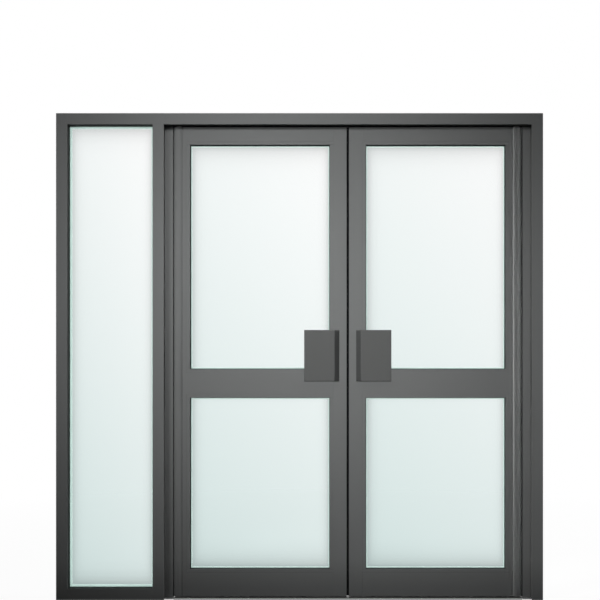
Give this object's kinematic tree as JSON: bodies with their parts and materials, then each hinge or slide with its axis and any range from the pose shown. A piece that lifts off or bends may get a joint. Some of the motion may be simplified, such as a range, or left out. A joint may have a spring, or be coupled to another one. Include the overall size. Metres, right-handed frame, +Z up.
{
  "type": "aluminium shop door",
  "caption": "Glazed aluminium shop front: a fixed sidelight beside a pair of double-swing doors with round-nosed hinge stiles, finger guards and plate pulls.",
  "frame": {"origin": "on the floor, at the middle of the frame's width and depth, on the underside of the threshold", "axes": "+X along the frame's width to the right seen from the street, +Y into the shop, +Z up"},
  "size_m": [2.1, 0.1344, 2.1],
  "materials": {
    "painted_aluminium": "satin",
    "pull_coat": "satin",
    "mill_aluminium": "satin",
    "bright_metal": "satin",
    "pivot_steel": "satin",
    "glass": "polished",
    "gasket": "matte",
    "pile": "matte"
  },
  "bodies": {
    "frame": {"left_jamb": "painted_aluminium", "mullion": "painted_aluminium", "right_jamb": "painted_aluminium", "sidelight_head": "painted_aluminium", "sidelight_sill": "painted_aluminium", "door_head": "painted_aluminium", "sidelight_glass": "glass", "sidelight_gaskets": "gasket", "threshold": "mill_aluminium", "left_finger_guard": "painted_aluminium", "left_threshold_end": "bright_metal", "left_bottom_pivot": "pivot_steel", "left_top_pivot": "pivot_steel", "right_finger_guard": "painted_aluminium", "right_threshold_end": "bright_metal", "right_bottom_pivot": "pivot_steel", "right_top_pivot": "pivot_steel"},
    "left_leaf": {"left_hinge_stile": "painted_aluminium", "left_pivot_sockets": "pivot_steel", "left_meeting_stile": "painted_aluminium", "left_meeting_brush": "pile", "left_bottom_rail": "painted_aluminium", "left_mid_rail": "painted_aluminium", "left_top_rail": "painted_aluminium", "left_front_pull": "pull_coat", "left_back_pull": "pull_coat", "left_lower_glass": "glass", "left_lower_beads": "painted_aluminium", "left_lower_gaskets": "gasket", "left_upper_glass": "glass", "left_upper_beads": "painted_aluminium", "left_upper_gaskets": "gasket"},
    "right_leaf": {"right_hinge_stile": "painted_aluminium", "right_pivot_sockets": "pivot_steel", "right_meeting_stile": "painted_aluminium", "right_meeting_brush": "pile", "right_bottom_rail": "painted_aluminium", "right_mid_rail": "painted_aluminium", "right_top_rail": "painted_aluminium", "right_front_pull": "pull_coat", "right_back_pull": "pull_coat", "right_lower_glass": "glass", "right_lower_beads": "painted_aluminium", "right_lower_gaskets": "gasket", "right_upper_glass": "glass", "right_upper_beads": "painted_aluminium", "right_upper_gaskets": "gasket"}
  },
  "joints": [
    {"name": "left_leaf_swing", "type": "hinge", "parent": "frame", "child": "left_leaf", "pos_m": [-0.524, 0, 0.012], "axis": [0, 0, -1], "range_deg": [-90, 90]},
    {"name": "right_leaf_swing", "type": "hinge", "parent": "frame", "child": "right_leaf", "pos_m": [0.94, 0, 0.012], "axis": [0, 0, 1], "range_deg": [-90, 90]}
  ]
}
